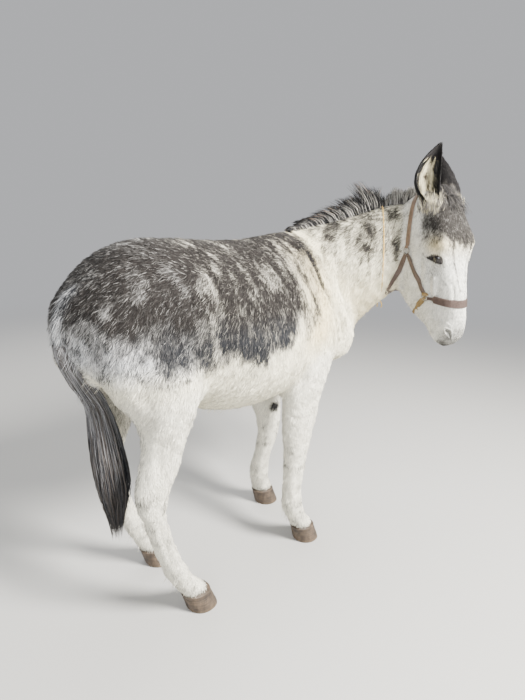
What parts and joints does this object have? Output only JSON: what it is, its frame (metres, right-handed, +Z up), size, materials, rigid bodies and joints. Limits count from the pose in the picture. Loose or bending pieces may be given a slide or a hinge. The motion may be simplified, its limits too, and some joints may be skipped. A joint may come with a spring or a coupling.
{
  "type": "standing donkey model",
  "caption": "Life-size display model of a grey and cream donkey standing at rest with its head turned to its right, wearing a headcollar and a thin twine collar",
  "frame": {"origin": "centre of the base of the bounding box, on the floor that the flat soles of the hooves rest on", "axes": "+X runs forward along the body from tail to chest, +Y to the donkey's left, +Z up"},
  "size_m": [1.3962, 0.8124, 1.543],
  "materials": {
    "coat_grey": "short hair, grey mottled with cream",
    "coat_pale": "short hair, cream with grey patches",
    "long_hair": "long coarse hair, charcoal",
    "ear_coat": "short hair, cream inside with a black-brown rim",
    "eye": "wet gloss, nearly black",
    "hoof": "horn, dark brown-grey, finely grooved",
    "leather_brown": "worn brown leather",
    "leather_tan": "worn tan leather",
    "webbing": "woven band, faded mauve-brown",
    "ring_steel": "bright steel ring, slightly dulled",
    "twine": "twisted fibre, straw yellow"
  },
  "bodies": {
    "root": {"crown_strap": "leather_tan", "noseband": "webbing", "throat_strap": "leather_brown", "chin_strap": "twine", "cheek_strap_left": "leather_brown", "upper_ring_left": "ring_steel", "cheek_ring_left": "ring_steel", "cheek_strap_right": "leather_brown", "upper_ring_right": "ring_steel", "cheek_ring_right": "ring_steel", "neck_cord": "twine", "trunk": "coat_grey", "neck": "coat_grey", "head": "coat_pale", "mane": "long_hair", "eye_left": "eye", "eye_right": "eye", "ear_right": "ear_coat", "ear_left": "ear_coat", "tail_dock": "coat_grey", "tail_switch": "long_hair", "foreleg_right_upper": "coat_pale", "foreleg_right_lower": "coat_pale", "forehoof_right": "hoof", "foreleg_left_upper": "coat_pale", "foreleg_left_lower": "coat_pale", "forehoof_left": "hoof", "hindleg_right_upper": "coat_pale", "hindleg_right_lower": "coat_pale", "hindhoof_right": "hoof", "hindleg_left_upper": "coat_pale", "hindleg_left_lower": "coat_pale", "hindhoof_left": "hoof"}
  },
  "joints": []
}
